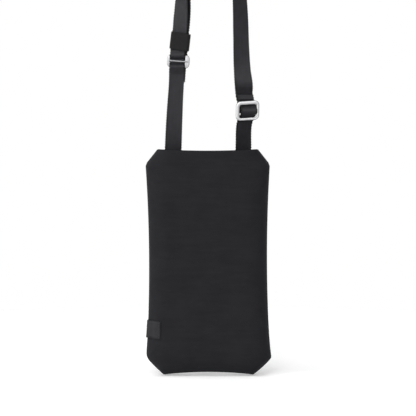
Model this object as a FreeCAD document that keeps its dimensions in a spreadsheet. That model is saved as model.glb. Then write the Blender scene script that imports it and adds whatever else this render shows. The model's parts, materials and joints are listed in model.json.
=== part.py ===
import FreeCAD
import Part
import Sketcher
import math
import os

from FreeCAD import Placement, Rotation, Vector

# A phone pouch hanging by its strap. The front faces -Y, +X is to the viewer's right, +Z is up.
# The origin is where a peg would carry the strap, so the pouch hangs below it.

# Driving sizes, in millimetres
SIZES = {
    # Pouch outline, seen from the front
    "pouch_width": 120.0,
    "pouch_height": 218.0,
    "top_corner_run": 11.5,
    "top_corner_drop": 14.6,
    "bottom_corner_run": 17.0,
    "bottom_corner_rise": 17.0,
    "side_draw": 3.0,
    "bottom_draw": 3.3,
    # Layers of each wall
    "fabric_thickness": 1.0,
    "padding_thickness": 2.0,
    "lining_thickness": 0.5,
    # Swell of the front wall: its edge, its shoulder at the lip, its crown
    "edge_depth": 4.5,
    "edge_inset": 0.6,
    "lip_depth": 10.5,
    "shoulder_inset": 9.0,
    "crown_depth": 13.5,
    "crown_inset": 20.0,
    "crown_top_drop": 42.0,
    "seam_gap": 0.15,
    "mouth_hem": 1.2,
    # Magnetic closure, sealed in the padding
    "magnet_diameter": 14.0,
    "magnet_thickness": 1.6,
    "magnet_drop": 15.0,
    "magnet_play": 0.15,
    # Webbing
    "webbing_width": 15.0,
    "webbing_thickness": 1.2,
    "layer_gap": 0.2,
    "end_hem": 5.0,
    # Where the straps leave the pouch, and how they are sewn in
    "strap_drop": 227.0,
    "swing_height": 1.0,
    "tab_space": 0.2,
    "anchor_space": 0.9,
    "left_strap_inset": 25.8,
    "right_strap_inset": 25.9,
    "anchor_length": 24.0,
    # Upper strap: a peg carries it, and it turns flat to the viewer below the peg
    "peg_radius": 24.0,
    "bend_drop": 80.0,
    "right_bend_shift": 3.3,
    "twist_start_drop": 74.0,
    "twist_end_drop": 28.0,
    "left_tail_drop": 77.0,
    "hem_reach": 65.0,
    # Adjuster on the left strand
    "adjuster_reach": 84.8,
    "adjuster_height": 13.0,
    "adjuster_wire": 2.0,
    "adjuster_end": 3.2,
    "adjuster_slot_corner": 1.0,
    "adjuster_bar_diameter": 1.5,
    "adjuster_play": 0.3,
    "running_gap": 0.25,
    "bar_fit": 0.02,
    # Elastic keeper above the adjuster
    "keeper_reach": 103.8,
    "keeper_height": 16.0,
    "keeper_thickness": 1.2,
    # Buckle on the right strand
    "buckle_drop": 189.3,
    "buckle_shift": 3.9,
    "buckle_height": 19.8,
    "buckle_rail": 3.7,
    "buckle_side": 3.2,
    "buckle_thickness": 2.2,
    "buckle_corner": 3.4,
    "buckle_slot_corner": 1.7,
    "buckle_cheek": 6.2,
    "buckle_play": 0.9,
    "buckle_standoff": 1.4,
    "buckle_bar_diameter": 1.8,
    "fold_length": 15.0,
    "fold_close_reach": 8.2,
    "right_tail_reach": 17.4,
    # Label folded over the left seam
    "label_height": 16.3,
    "label_reach": 13.0,
    "label_thickness": 0.8,
    "label_base": 35.5,
    "label_ease": 0.5,
    # Stitching
    "stitch_length": 2.6,
    "stitch_pitch": 3.7,
    "thread": 0.4,
    "stitch_border": 2.0,
    "stitch_inset": 1.2,
}

OVERRUN = 2.0  # how far cutting shapes reach past what they cut

doc = FreeCAD.newDocument("phone_pouch")
sheet = doc.addObject("Spreadsheet::Sheet", "sizes")
for row, (name, number) in enumerate(SIZES.items(), start=1):
    sheet.set(f"A{row}", name)
    sheet.set(f"B{row}", str(number))
    sheet.setAlias(f"B{row}", name)
doc.recompute()


class Length:
    """A number together with the sheet expression that gives it."""

    def __init__(self, value, text):
        self.value = value
        self.text = text

    def joined(self, other, sign, value):
        return Length(value, f"({self.text} {sign} {as_length(other).text})")

    def __add__(self, other):
        return self.joined(other, "+", self.value + as_length(other).value)

    def __sub__(self, other):
        return self.joined(other, "-", self.value - as_length(other).value)

    def __mul__(self, other):
        return self.joined(other, "*", self.value * as_length(other).value)

    def __truediv__(self, other):
        return self.joined(other, "/", self.value / as_length(other).value)

    def __neg__(self):
        return Length(-self.value, f"(-1 * {self.text})")


def as_length(number):
    return number if isinstance(number, Length) else Length(float(number), repr(float(number)))


def lean(run, rise):
    """Angle, in degrees, of a line that moves sideways by run while it climbs by rise."""
    return Length(math.degrees(math.atan2(run.value, rise.value)), f"atan({run.text} / {rise.text})")


def sine(angle):
    return Length(math.sin(math.radians(angle.value)), f"sin({angle.text})")


def cosine(angle):
    return Length(math.cos(math.radians(angle.value)), f"cos({angle.text})")


def arc_radius(chord, sagitta):
    return (chord * chord / 4 + sagitta * sagitta) / (sagitta * 2)


class Sizes:
    """The sheet's cells as lengths, one attribute for each alias."""


size = Sizes()
for name in SIZES:
    setattr(size, name, Length(float(getattr(sheet, name)), f"sizes.{name}"))

# Sizes and places that several pieces share
ZERO = as_length(0)
X_AXIS, Y_AXIS, Z_AXIS = Vector(1, 0, 0), Vector(0, 1, 0), Vector(0, 0, 1)
padding_depth = size.fabric_thickness + size.padding_thickness
wall = padding_depth + size.lining_thickness
layer_depths = [ZERO, size.fabric_thickness, padding_depth, wall]
half_width = size.pouch_width / 2
half_webbing = size.webbing_width / 2
half_thickness = size.webbing_thickness / 2
tab_plane = -(size.webbing_thickness + size.layer_gap)
seam_plane = -(half_thickness + size.layer_gap)
pouch_bottom = -(size.strap_drop + size.pouch_height)
pouch_frame = (ZERO, seam_plane, pouch_bottom)
hem_line = size.pouch_height - size.mouth_hem
magnet_level = size.pouch_height - size.magnet_drop

swing_drop = size.strap_drop - size.swing_height
arch_radius = size.peg_radius + half_thickness
left_x = size.left_strap_inset - half_width
right_x = half_width - size.right_strap_inset
right_bend_x = right_x - size.right_bend_shift
buckle_x = right_x + size.buckle_shift
right_rise = swing_drop - size.buckle_drop
left_lean = lean(-left_x - arch_radius, swing_drop - size.bend_drop)
right_lean = lean(size.buckle_shift, right_rise)
buckle_lean = lean(right_bend_x - buckle_x, size.buckle_drop - size.bend_drop)
left_swing = (left_x, tab_plane, -swing_drop)
right_swing = (right_x, tab_plane, -swing_drop)
buckle_spot = (buckle_x, ZERO, -size.buckle_drop)


def values(lengths):
    return [length.value for length in lengths]


def bind(item, path, length):
    item.setExpression(path, length.text)


def place(item, base, turn=ZERO, axis=Y_AXIS):
    """Put an object at a point given by lengths, turned about an axis by an angle."""
    item.Placement = Placement(Vector(*values(base)), Rotation(axis, turn.value))
    for letter, part in zip("xyz", base):
        bind(item, f"Placement.Base.{letter}", part)
    if turn is not ZERO:
        bind(item, "Placement.Rotation.Angle", turn)


def leaning(start, turn, offset):
    """The point at an offset from a start, after the offset leans about the Y axis."""
    across, forward, up = offset
    x = start[0] + across * cosine(turn) + up * sine(turn)
    z = start[2] + up * cosine(turn) - across * sine(turn)
    return (x, start[1] + forward, z)


def on_left(reach, plane=ZERO):
    """A point up the left strand, measured from the swing axis."""
    return leaning((left_x, plane, -swing_drop), left_lean, (ZERO, ZERO, reach))


def new_body(name):
    body = doc.addObject("PartDesign::Body", name)
    body.Label = name
    return body


def new_sketch(body, name, role, offset):
    """A sketch on one of a body's origin planes, moved along that plane's normal."""
    sketch = body.newObject("Sketcher::SketchObject", name)
    plane = next(item for item in body.Origin.OriginFeatures if item.Role == role)
    sketch.AttachmentSupport = [(plane, "")]
    sketch.MapMode = "FlatFace"
    sketch.AttachmentOffset = Placement(Vector(0, 0, offset.value), Rotation())
    bind(sketch, "AttachmentOffset.Base.z", offset)
    return sketch


def dimension(sketch, kind, places, length, label):
    index = sketch.addConstraint(Sketcher.Constraint(kind, *places, length.value))
    sketch.renameConstraint(index, label)
    bind(sketch, f"Constraints.{label}", length)


def line_between(start, end):
    return Part.LineSegment(Vector(*start, 0), Vector(*end, 0))


def arc_between(start, end, middle):
    """An arc through three points that are in anticlockwise order."""
    curve = Part.Arc(Vector(*start, 0), Vector(*middle, 0), Vector(*end, 0)).toShape().Curve
    first = math.atan2(start[1] - curve.Center.y, start[0] - curve.Center.x)
    last = math.atan2(end[1] - curve.Center.y, end[0] - curve.Center.x)
    circle = Part.Circle(curve.Center, Z_AXIS, curve.Radius)
    return Part.ArcOfCircle(circle, first, last if last > first else last + 2 * math.pi)


def pouch_outline(sketch, half, top, bottom, top_run, top_drop):
    """Eight-sided pouch outline: cut corners, sides and bottom drawn in between them."""
    height = top - bottom
    side = height - top_drop - size.bottom_corner_rise
    floor = (half - size.bottom_corner_run) * 2
    wide, high, low = values((half, top, bottom))
    top_x, bottom_x = values((half - top_run, half - size.bottom_corner_run))
    upper, lower = values((top - top_drop, bottom + size.bottom_corner_rise))
    waist, arch = values((half - size.side_draw, bottom + size.bottom_draw))
    middle = (upper + lower) / 2
    outline = [
        line_between((-top_x, high), (top_x, high)),
        line_between((top_x, high), (wide, upper)),
        arc_between((wide, upper), (wide, lower), (waist, middle)),
        line_between((wide, lower), (bottom_x, low)),
        arc_between((bottom_x, low), (-bottom_x, low), (0, arch)),
        line_between((-bottom_x, low), (-wide, lower)),
        arc_between((-wide, lower), (-wide, upper), (-waist, middle)),
        line_between((-wide, upper), (-top_x, high)),
    ]
    sketch.addGeometry(outline)
    for edge in range(len(outline)):
        following = (edge + 1) % len(outline)
        sketch.addConstraint(Sketcher.Constraint("Coincident", edge, 2, following, 1))
    mirrored = [((0, 1), (0, 2)), ((7, 1), (1, 2)), ((6, 1), (3, 1)), ((5, 1), (4, 1))]
    for first, second in mirrored:
        sketch.addConstraint(Sketcher.Constraint("Symmetric", *first, *second, -2))
    sketch.addConstraint(Sketcher.Constraint("Vertical", 2, 1, 2, 2))
    sketch.addConstraint(Sketcher.Constraint("Equal", 2, 6))
    dimension(sketch, "DistanceX", (-1, 1, 2, 1), half, "half_width")
    dimension(sketch, "DistanceY", (-1, 1, 0, 2), top, "top")
    dimension(sketch, "DistanceY", (4, 1, 0, 2), height, "height")
    dimension(sketch, "DistanceX", (0, 2, 2, 1), top_run, "top_run")
    dimension(sketch, "DistanceY", (2, 1, 0, 2), top_drop, "top_drop")
    dimension(sketch, "DistanceX", (4, 1, 2, 2), size.bottom_corner_run, "bottom_run")
    dimension(sketch, "DistanceY", (4, 1, 2, 2), size.bottom_corner_rise, "bottom_rise")
    dimension(sketch, "Radius", (2,), arc_radius(side, size.side_draw), "side_radius")
    dimension(sketch, "Radius", (4,), arc_radius(floor, size.bottom_draw), "bottom_radius")


def rounded_rectangle(sketch, wide, tall, radius, label):
    """A rectangle with round corners about the sketch's origin."""
    first = sketch.GeometryCount
    x, y, r = values((wide / 2, tall / 2, radius))
    corners = [(x - r, r - y, -90), (x - r, y - r, 0), (r - x, y - r, 90), (r - x, r - y, 180)]
    ends = [
        ((r - x, -y), (x - r, -y)),
        ((x, r - y), (x, y - r)),
        ((x - r, y), (r - x, y)),
        ((-x, y - r), (-x, r - y)),
    ]
    for (start, end), (centre_x, centre_y, angle) in zip(ends, corners):
        sketch.addGeometry(line_between(start, end))
        circle = Part.Circle(Vector(centre_x, centre_y, 0), Z_AXIS, r)
        sketch.addGeometry(Part.ArcOfCircle(circle, math.radians(angle), math.radians(angle + 90)))
    for side in range(len(ends)):
        line = first + 2 * side
        arc = line + 1
        following = first + (2 * side + 2) % (2 * len(ends))
        sketch.addConstraint(Sketcher.Constraint("Tangent", line, 2, arc, 1))
        sketch.addConstraint(Sketcher.Constraint("Tangent", arc, 2, following, 1))
        sketch.addConstraint(Sketcher.Constraint("Vertical" if side % 2 else "Horizontal", line))
        if side:
            sketch.addConstraint(Sketcher.Constraint("Equal", first + 1, arc))
    sketch.addConstraint(Sketcher.Constraint("Symmetric", first, 1, first + 4, 1, -1, 1))
    dimension(sketch, "DistanceX", (first + 6, 1, first + 2, 1), wide, f"{label}_wide")
    dimension(sketch, "DistanceY", (first, 1, first + 4, 1), tall, f"{label}_tall")
    dimension(sketch, "Radius", (first + 1,), radius, f"{label}_radius")


def pad(body, name, sketch, length, backwards=False):
    feature = body.newObject("PartDesign::Pad", name)
    feature.Profile = sketch
    feature.Length = length.value
    bind(feature, "Length", length)
    feature.Reversed = backwards


def box(name, lengths, corner, turn=ZERO):
    item = doc.addObject("Part::Box", name)
    for key, length in zip(("Length", "Width", "Height"), lengths):
        setattr(item, key, length.value)
        bind(item, key, length)
    place(item, corner, turn)
    return item


def cylinder(name, diameter, height):
    item = doc.addObject("Part::Cylinder", name)
    item.Radius = diameter.value / 2
    bind(item, "Radius", diameter / 2)
    item.Height = height.value
    bind(item, "Height", height)
    return item


def boolean(kind, name, base, tool):
    item = doc.addObject(f"Part::{kind}", name)
    item.Base = base
    item.Tool = tool
    return item


def solid_feature(name, shape):
    """A piece whose shape is worked out below from the sheet's sizes."""
    item = doc.addObject("Part::Feature", name)
    item.Shape = shape
    return item


def ribbon(points, sides, width, thickness):
    """A flat band through points, with the given direction across the band at each point."""
    wires = []
    length = 0
    for index, (point, side) in enumerate(zip(points, sides)):
        before = points[max(index - 1, 0)]
        after = points[min(index + 1, len(points) - 1)]
        ahead = (after - point) if after != point else (point - before)
        behind = (point - before) if before != point else ahead
        tangent = (ahead.normalize() + behind.normalize()).normalize()
        mitre = 1 / tangent.dot(ahead)
        face = side.cross(tangent).normalize() * (mitre * thickness / 2)
        across = tangent.cross(face).normalize() * (width / 2)
        near = [point - across - face, point + across - face]
        far = [point + across + face, point - across + face]
        wires.append(Part.makePolygon(near + far + near[:1]))
        length += (point - before).Length
    solid = Part.makeLoft(wires, True, True)
    if solid.Volume < 0:
        solid.reverse()
    return solid, length


# Walls of the pouch

def swelling_form(name, inset):
    """The front wall's swollen form, brought inwards by a depth; it overruns the seam and the mouth."""
    half = half_width - inset
    open_top = size.pouch_height + OVERRUN
    open_drop = size.top_corner_drop + OVERRUN
    open_run = size.top_corner_run * open_drop / size.top_corner_drop
    crown_top = size.pouch_height - size.crown_top_drop
    open_corner = (open_run, open_drop)
    crown_corner = (size.top_corner_run, size.top_corner_drop)
    sections = [
        (-as_length(OVERRUN), ZERO, open_top, open_corner),
        (size.edge_depth - inset, size.edge_inset, open_top, open_corner),
        (size.lip_depth - inset, size.shoulder_inset, open_top, open_corner),
        (size.crown_depth - inset, size.crown_inset, crown_top, crown_corner),
    ]
    body = new_body(name)
    sketches = []
    for number, (depth, inwards, top, corner) in enumerate(sections):
        sketch = new_sketch(body, f"{name}_section_{number}", "XZ_Plane", depth)
        pouch_outline(sketch, half - inwards, top, inset + inwards, *corner)
        sketches.append(sketch)
    loft = body.newObject("PartDesign::AdditiveLoft", f"{name}_loft")
    loft.Profile = sketches[0]
    loft.Sections = sketches[1:]
    loft.Ruled = True
    return body


def back_layer(name, near, far):
    """A flat layer with the pouch's outline between two depths behind the seam."""
    body = new_body(name)
    sketch = new_sketch(body, f"{name}_outline", "XZ_Plane", -far)
    corner = (size.top_corner_run, size.top_corner_drop)
    pouch_outline(sketch, half_width, size.pouch_height, ZERO, *corner)
    pad(body, f"{name}_pad", sketch, far - near)
    return body


def trim_block(name, front, depth, low, high):
    """Everything from a front plane backwards by a depth, between two heights."""
    corner = (-(half_width + OVERRUN), front, low)
    return box(name, (size.pouch_width + 2 * OVERRUN, depth, high - low), corner)


def magnet_disc(name, base, turn):
    disc = cylinder(name, size.magnet_diameter, size.magnet_thickness)
    place(disc, [part + shift for part, shift in zip(base, pouch_frame)], turn, X_AXIS)
    return disc


def magnet_pocket(name, base, turn):
    pocket = cylinder(name, size.magnet_diameter + size.magnet_play * 2, wall * 2)
    place(pocket, base, turn, X_AXIS)
    return pocket


def cylinder_base(middle, turn, height):
    """The foot of a cylinder that is centred on a point and tipped about the X axis."""
    x, y, z = middle
    return (x, y + height / 2 * sine(turn), z - height / 2 * cosine(turn))


def layered_wall(side, shells, whole, front, depth, magnet_middle, magnet_turn):
    """Three layers cut off at the hem line, the hem over them and the magnet in the padding."""
    below = trim_block(f"{side}_trim", front, depth, -as_length(OVERRUN), hem_line)
    above = trim_block(f"{side}_hem_trim", front, depth, hem_line, size.pouch_height)
    pocket_base = cylinder_base(magnet_middle, magnet_turn, wall * 2)
    pocket = magnet_pocket(f"{side}_magnet_pocket", pocket_base, magnet_turn)
    pierced = boolean("Cut", f"{side}_padding_pierced", shells["padding"], pocket)
    layers = {"panel": shells["panel"], "padding": pierced, "lining": shells["lining"]}
    pieces = {}
    for layer, shell in layers.items():
        pieces[f"{side}_{layer}"] = boolean("Common", f"{side}_{layer}", shell, below)
    pieces[f"{side}_mouth_hem"] = boolean("Common", f"{side}_mouth_hem", whole, above)
    for item in pieces.values():
        place(item, pouch_frame)
    disc_base = cylinder_base(magnet_middle, magnet_turn, size.magnet_thickness)
    pieces[f"{side}_magnet"] = magnet_disc(f"{side}_magnet", disc_base, magnet_turn)
    return pieces


def front_wall():
    """The swollen wall; its magnet lies in the slope between the lip and the crown."""
    forms = [swelling_form(f"front_form_{number}", inset) for number, inset in enumerate(layer_depths)]
    shells = {}
    for number, layer in enumerate(("panel", "padding", "lining")):
        shells[layer] = boolean("Cut", f"front_{layer}_shell", forms[number], forms[number + 1])
    whole = boolean("Cut", "front_whole", forms[0], forms[-1])
    depth = size.crown_depth + OVERRUN
    slope_run = size.crown_depth - size.lip_depth
    slope_rise = size.crown_top_drop + OVERRUN
    outside = size.lip_depth + (size.magnet_drop + OVERRUN) * slope_run / slope_rise
    inwards = (size.fabric_thickness + padding_depth) / 2
    middle = (ZERO, inwards - outside, magnet_level)
    turn = lean(slope_rise, slope_run)
    return layered_wall("front", shells, whole, -(depth + size.seam_gap), depth, middle, turn)


def back_wall():
    shells = {}
    for number, layer in enumerate(("panel", "padding", "lining")):
        near, far = wall - layer_depths[number + 1], wall - layer_depths[number]
        shells[layer] = back_layer(f"back_{layer}_whole", near, far)
    whole = back_layer("back_whole", ZERO, wall)
    middle = (ZERO, size.lining_thickness + size.padding_thickness / 2, magnet_level)
    depth = wall + 2 * OVERRUN
    return layered_wall("back", shells, whole, -as_length(OVERRUN), depth, middle, as_length(90))


# Stitching

def dash(middle, upright, behind):
    """One stitch lying on a face at y = 0, in front of it or behind it."""
    wide, tall = values((size.thread, size.stitch_length))
    if not upright:
        wide, tall = tall, wide
    front = 0 if behind else -size.thread.value
    corner = Vector(middle[0] - wide / 2, front, middle[1] - tall / 2)
    return Part.makeBox(wide, size.thread.value, tall, corner)


def stitch_line(start, end, behind=False):
    """Stitches at an even pitch along an upright or level line."""
    run = math.dist(start, end)
    count = max(2, int(run / size.stitch_pitch.value) + 1)
    stitches = []
    for number in range(count):
        share = (2 * number + 1) / (2 * count)
        middle = [first + (last - first) * share for first, last in zip(start, end)]
        stitches.append(dash(middle, start[0] == end[0], behind))
    return stitches


def stitched_box(name, low, high, behind=False):
    """A rectangle of stitches within the webbing's width."""
    half = (half_webbing - size.stitch_border).value
    sides = [
        ((-half, low), (half, low)),
        ((-half, high), (half, high)),
        ((-half, low), (-half, high)),
        ((half, low), (half, high)),
    ]
    stitches = [stitch for start, end in sides for stitch in stitch_line(start, end, behind)]
    return solid_feature(name, Part.makeCompound(stitches))


def anchor_stitching(name, swing, turn):
    """The box of stitches that holds a strap's end to the back lining."""
    high = -(size.anchor_space + size.mouth_hem + size.stitch_border)
    low = size.stitch_border - size.anchor_space - size.anchor_length
    item = stitched_box(name, low.value, high.value)
    place(item, leaning(swing, turn, (ZERO, -half_thickness, ZERO)), turn)
    return item


def hem_stitching():
    """Two rows of stitches across the strap's hem, on its back."""
    half = (half_webbing - size.stitch_border).value
    stitches = []
    for row in values((size.stitch_inset, size.end_hem - size.stitch_inset)):
        stitches += stitch_line((-half, row), (half, row), behind=True)
    item = solid_feature("hem_stitching", Part.makeCompound(stitches))
    place(item, on_left(size.hem_reach, half_thickness + size.webbing_thickness), left_lean)
    return item


def fold_stitching():
    """The box of stitches that holds the strap's folded end, on its back."""
    low = size.fold_close_reach + size.thread * 2
    high = size.fold_length - size.stitch_inset
    item = stitched_box("fold_stitching", low.value, high.value, behind=True)
    face = half_thickness + size.webbing_thickness + size.layer_gap
    place(item, leaning(buckle_spot, buckle_lean, (ZERO, face, ZERO)), buckle_lean)
    return item


# Webbing

def strap_tab(name, swing, length, turn):
    """Straight webbing from above the swing axis, with its upper end folded forwards as a hem."""
    strip = box(f"{name}_strip", (size.webbing_width, size.webbing_thickness, length - size.tab_space),
                (-half_webbing, -half_thickness, size.tab_space))
    hem = box(f"{name}_hem", (size.webbing_width, size.webbing_thickness, size.end_hem),
              (-half_webbing, -(half_thickness + size.webbing_thickness), length - size.end_hem))
    tab = boolean("Fuse", name, strip, hem)
    place(tab, swing, turn)
    return tab


def strap_anchor(name, swing, turn):
    """The end of a strap inside the pouch, lying on the back lining."""
    offset = (-half_webbing, -half_thickness, -(size.anchor_length + size.anchor_space))
    lengths = (size.webbing_width, size.webbing_thickness, size.anchor_length)
    return box(name, lengths, leaning(swing, turn, offset), turn)


def quarter_twist(count=8):
    """Drops below the peg, from low to high, each with the share of a quarter turn made there."""
    start, end = values((size.twist_start_drop, size.twist_end_drop))
    return [(start + (end - start) * step / count, step / count) for step in range(count + 1)]


def arch_over_peg(centre, radius, last, count=16):
    """Points over the peg, from its left side to an angle in degrees from +X."""
    angles = [math.radians(180 + (last - 180) * step / count) for step in range(count + 1)]
    return [centre + Vector(math.cos(angle), 0, math.sin(angle)) * radius for angle in angles]


def fold_round_bar(bar, up, count=8):
    """The strap's end: down in front of the buckle's bar, under it and up behind, against itself."""
    radius = ((size.buckle_bar_diameter + size.layer_gap + size.webbing_thickness) / 2).value
    points = []
    for step in range(count + 1):
        angle = math.pi * (1 + step / count)
        behind = Y_AXIS * (radius * (1 + math.cos(angle)))
        points.append(bar + behind + up * (radius * math.sin(angle)))
    together = Y_AXIS * (size.webbing_thickness + size.layer_gap).value
    for reach in values((size.fold_close_reach, size.fold_length)):
        points.append(bar + together + up * reach)
    return points


def strap_route():
    """Middle line of the upper strap with the direction across it: hem, peg, buckle, folded end."""
    radius = arch_radius.value
    centre = Vector(0, 0, -size.peg_radius.value)
    left_bend = Vector(-radius, 0, -size.bend_drop.value)
    right_bend = Vector(right_bend_x.value, 0, -size.bend_drop.value)
    bar = Vector(*values(buckle_spot))
    downwards = right_bend - centre
    tangent = math.atan2(downwards.z, downwards.x) + math.acos(radius / downwards.Length)
    arch = arch_over_peg(centre, radius, math.degrees(tangent))
    foot = arch[-1]

    points = [Vector(*values(on_left(size.hem_reach))), left_bend]
    sides = [X_AXIS, X_AXIS]
    for drop, turned in quarter_twist():
        angle = math.radians(90 * turned)
        points.append(Vector(-radius, 0, -drop))
        sides.append(X_AXIS * math.cos(angle) - Y_AXIS * math.sin(angle))
    points += arch
    sides += [-Y_AXIS] * len(arch)
    for drop, turned in reversed(quarter_twist()):
        angle = math.radians(90 * turned)
        points.append(foot + (right_bend - foot) * ((foot.z + drop) / (foot.z - right_bend.z)))
        sides.append(-X_AXIS * math.cos(angle) - Y_AXIS * math.sin(angle))
    points.append(right_bend)
    sides.append(-X_AXIS)
    fold = fold_round_bar(bar, (right_bend - bar).normalize())
    points += fold
    sides += [Rotation(Y_AXIS, buckle_lean.value).multVec(-X_AXIS)] * len(fold)
    return points, sides


def shoulder_strap():
    points, sides = strap_route()
    wide, thick = values((size.webbing_width, size.webbing_thickness))
    solid, length = ribbon(points, sides, wide, thick)
    print(f"upper strap: length {length:.1f} mm, arch radius {arch_radius.value:.1f} mm, "
          f"volume {solid.Volume:.0f} against {wide * thick * length:.0f} mm3")
    corner = Vector(-half_webbing.value, half_thickness.value, 0)
    hem = Part.makeBox(wide, thick, size.end_hem.value, corner)
    start = Placement(points[0], Rotation(Y_AXIS, left_lean.value))
    hem.Placement = start.multiply(hem.Placement)
    return solid_feature("shoulder_strap", solid.fuse(hem).removeSplitter())


def straps():
    left_length = (swing_drop - size.left_tail_drop) / cosine(left_lean)
    right_length = right_rise / cosine(right_lean) + size.right_tail_reach
    pieces = {}
    for side, swing, length, turn in (("left", left_swing, left_length, left_lean),
                                      ("right", right_swing, right_length, right_lean)):
        pieces[f"{side}_tab"] = strap_tab(f"{side}_tab", swing, length, turn)
        pieces[f"{side}_strap_anchor"] = strap_anchor(f"{side}_strap_anchor", swing, turn)
        pieces[f"{side}_anchor_stitching"] = anchor_stitching(f"{side}_anchor_stitching", swing, turn)
    pieces["shoulder_strap"] = shoulder_strap()
    pieces["hem_stitching"] = hem_stitching()
    pieces["fold_stitching"] = fold_stitching()
    return pieces


# Fittings on the straps

def cheek_rectangle(sketch, sign, inner, outwards, tall):
    """A rectangle beside the strap, from its inner edge outwards, on the side that the sign gives."""
    first = sketch.GeometryCount
    x0, x1, y = values((inner * sign, (inner + outwards) * sign, tall / 2))
    corners = [(x0, -y), (x1, -y), (x1, y), (x0, y)]
    for start, end in zip(corners, corners[1:] + corners[:1]):
        sketch.addGeometry(line_between(start, end))
    for side in range(len(corners)):
        following = first + (side + 1) % len(corners)
        sketch.addConstraint(Sketcher.Constraint("Coincident", first + side, 2, following, 1))
    for side, direction in enumerate(("Horizontal", "Vertical", "Horizontal")):
        sketch.addConstraint(Sketcher.Constraint(direction, first + side))
    sketch.addConstraint(Sketcher.Constraint("Symmetric", first, 1, first + 2, 2, -1))
    label = "right" if sign > 0 else "left"
    middle, near, far = (-1, 1), (first, 1), (first, 2)
    inner_places = middle + near if sign > 0 else near + middle
    wide_places = near + far if sign > 0 else far + near
    dimension(sketch, "DistanceX", inner_places, inner, f"{label}_inner")
    dimension(sketch, "DistanceX", wide_places, outwards, f"{label}_wide")
    dimension(sketch, "DistanceY", (first, 1, first + 2, 2), tall, f"{label}_tall")


def bar_circle(body, name, start, plane, diameter):
    """A circle for a level bar or its hole, a distance behind the strap's middle plane."""
    sketch = new_sketch(body, name, "YZ_Plane", start)
    sketch.addGeometry(Part.Circle(Vector(plane.value, 0, 0), Z_AXIS, diameter.value / 2))
    sketch.addConstraint(Sketcher.Constraint("PointOnObject", 0, 3, -1))
    behind = plane.value > 0
    places = (-1, 1, 0, 3) if behind else (0, 3, -1, 1)
    dimension(sketch, "DistanceX", places, plane if behind else -plane, "plane")
    dimension(sketch, "Diameter", (0,), diameter, "round")
    return sketch


def bar_hole(body, name, diameter, plane, wide):
    """A level hole through both cheeks."""
    pocket_sketch = bar_circle(body, f"{name}_section", -(wide / 2), plane, diameter)
    pocket = body.newObject("PartDesign::Pocket", name)
    pocket.Profile = pocket_sketch
    pocket.Length = wide.value
    bind(pocket, "Length", wide)
    pocket.Reversed = True


def level_bar(name, diameter, length, plane):
    """A round bar across the strap, held in the two cheeks."""
    body = new_body(name)
    pad(body, f"{name}_pad", bar_circle(body, f"{name}_section", -(length / 2), plane, diameter), length)
    return body


def adjuster():
    """An oval slide: its rails run behind both straps and its bare bar in front of them."""
    back_face = half_thickness + size.running_gap
    bar_plane = tab_plane - half_thickness - size.running_gap - size.adjuster_bar_diameter / 2
    opening = size.webbing_width + size.adjuster_play * 2
    wide = opening + size.adjuster_end * 2
    slot = size.adjuster_height - size.adjuster_wire * 2
    nearly_half_round = size.adjuster_height / 2 - size.bar_fit
    frame = new_body("adjuster_frame")
    ring = new_sketch(frame, "adjuster_ring", "XZ_Plane", -(back_face + size.adjuster_wire))
    rounded_rectangle(ring, wide, size.adjuster_height, nearly_half_round, "outer")
    rounded_rectangle(ring, opening, slot, size.adjuster_slot_corner, "inner")
    pad(frame, "adjuster_ring_pad", ring, size.adjuster_wire)
    cheeks = new_sketch(frame, "adjuster_cheeks", "XZ_Plane", -back_face)
    for sign in (-1, 1):
        cheek_rectangle(cheeks, sign, (opening + size.bar_fit) / 2, size.adjuster_end - size.bar_fit, slot)
    pad(frame, "adjuster_cheeks_pad", cheeks, back_face - bar_plane + size.adjuster_bar_diameter)
    bar_hole(frame, "adjuster_bar_hole", size.adjuster_bar_diameter + size.bar_fit, bar_plane, wide)
    bar = level_bar("adjuster_bar", size.adjuster_bar_diameter, wide - size.adjuster_end, bar_plane)
    for item in (frame, bar):
        place(item, on_left(size.adjuster_reach), left_lean)
    return {"adjuster_frame": frame, "adjuster_bar": bar}


def keeper():
    """An elastic loop round both straps."""
    body = new_body("keeper_band")
    sketch = new_sketch(body, "keeper_section", "XY_Plane", -(size.keeper_height / 2))
    inside_wide = size.webbing_width + size.running_gap * 2
    inside_deep = size.webbing_thickness * 2 + size.layer_gap + size.running_gap * 2
    outside_wide = inside_wide + size.keeper_thickness * 2
    outside_deep = inside_deep + size.keeper_thickness * 2
    rounded_rectangle(sketch, outside_wide, outside_deep, size.keeper_thickness + size.running_gap, "outer")
    rounded_rectangle(sketch, inside_wide, inside_deep, size.running_gap, "inner")
    pad(body, "keeper_pad", sketch, size.keeper_height)
    place(body, on_left(size.keeper_reach, tab_plane / 2), left_lean)
    return body


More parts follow.
